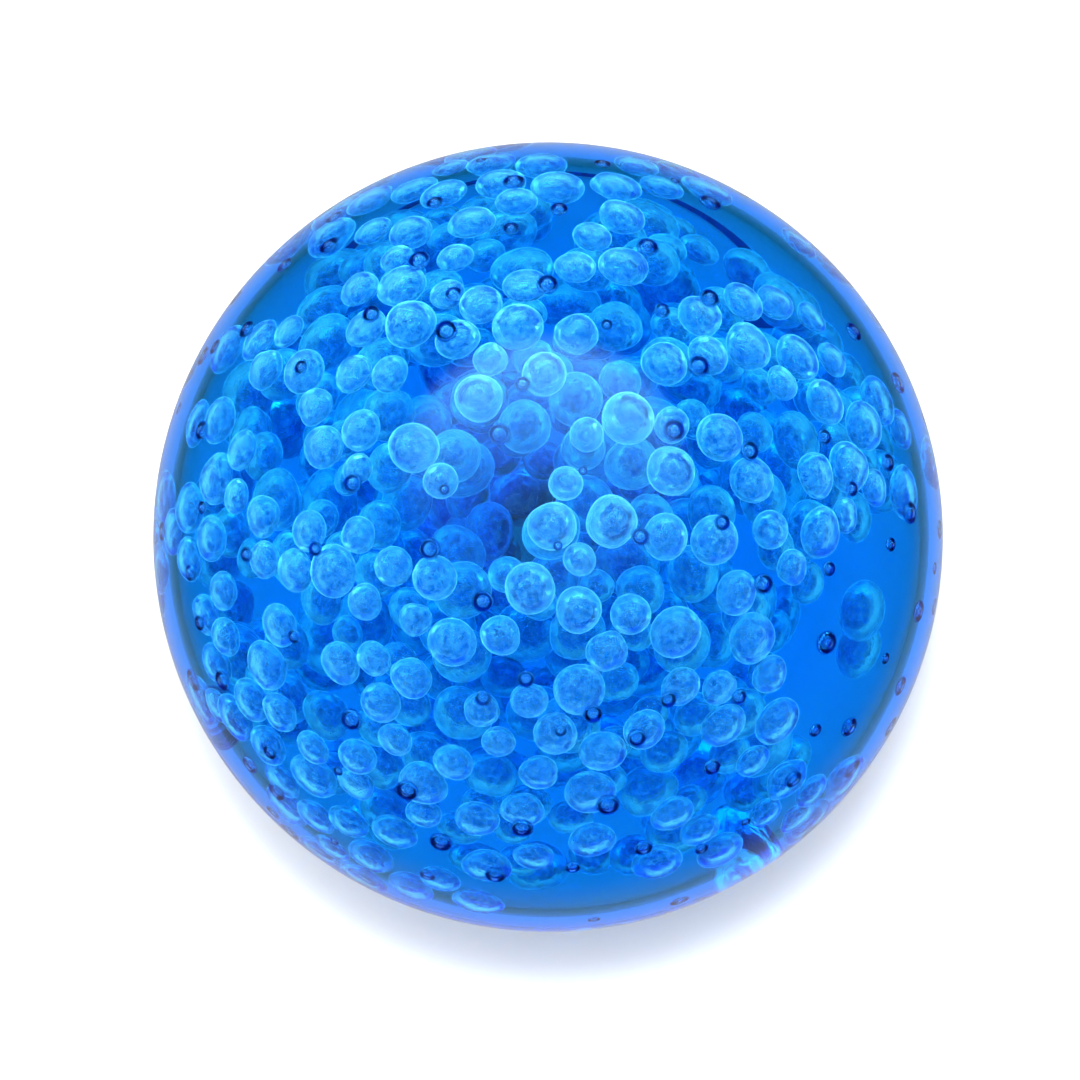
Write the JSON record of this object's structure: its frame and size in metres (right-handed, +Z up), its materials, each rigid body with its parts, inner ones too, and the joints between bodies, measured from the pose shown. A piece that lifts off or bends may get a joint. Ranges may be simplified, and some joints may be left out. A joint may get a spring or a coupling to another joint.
{
  "type": "bubble glass paperweight ball",
  "caption": "Solid ball of blue glass full of trapped air bubbles, built up in gathers round a core, with a flat polished base to stand on.",
  "frame": {"origin": "centre of the flat ground base, on the surface that the ball stands on", "axes": "+Z up along the pontil axis through the ball's centre; +X and +Y level, +X the side where the bubbles are sparser, -Y the side nearest the viewer"},
  "size_m": [0.08, 0.08, 0.0766],
  "materials": {
    "blue_glass": "transparent cobalt-tinted soda glass, full of round air bubbles",
    "core_glass": "transparent dark sea-green glass, a little darker than the rest",
    "coat_glass": "thin layer of melted dark blue colour powder, seen as a fine line edge-on",
    "polished_blue_glass": "transparent blue glass, fire-polished outside, ground and polished on the base"
  },
  "bodies": {
    "root": {"core_gather": "core_glass", "second_gather": "blue_glass", "third_gather": "blue_glass", "fourth_gather": "blue_glass", "fifth_gather": "blue_glass", "colour_coat": "coat_glass", "sixth_gather": "blue_glass", "casing_gather": "polished_blue_glass"}
  },
  "joints": []
}
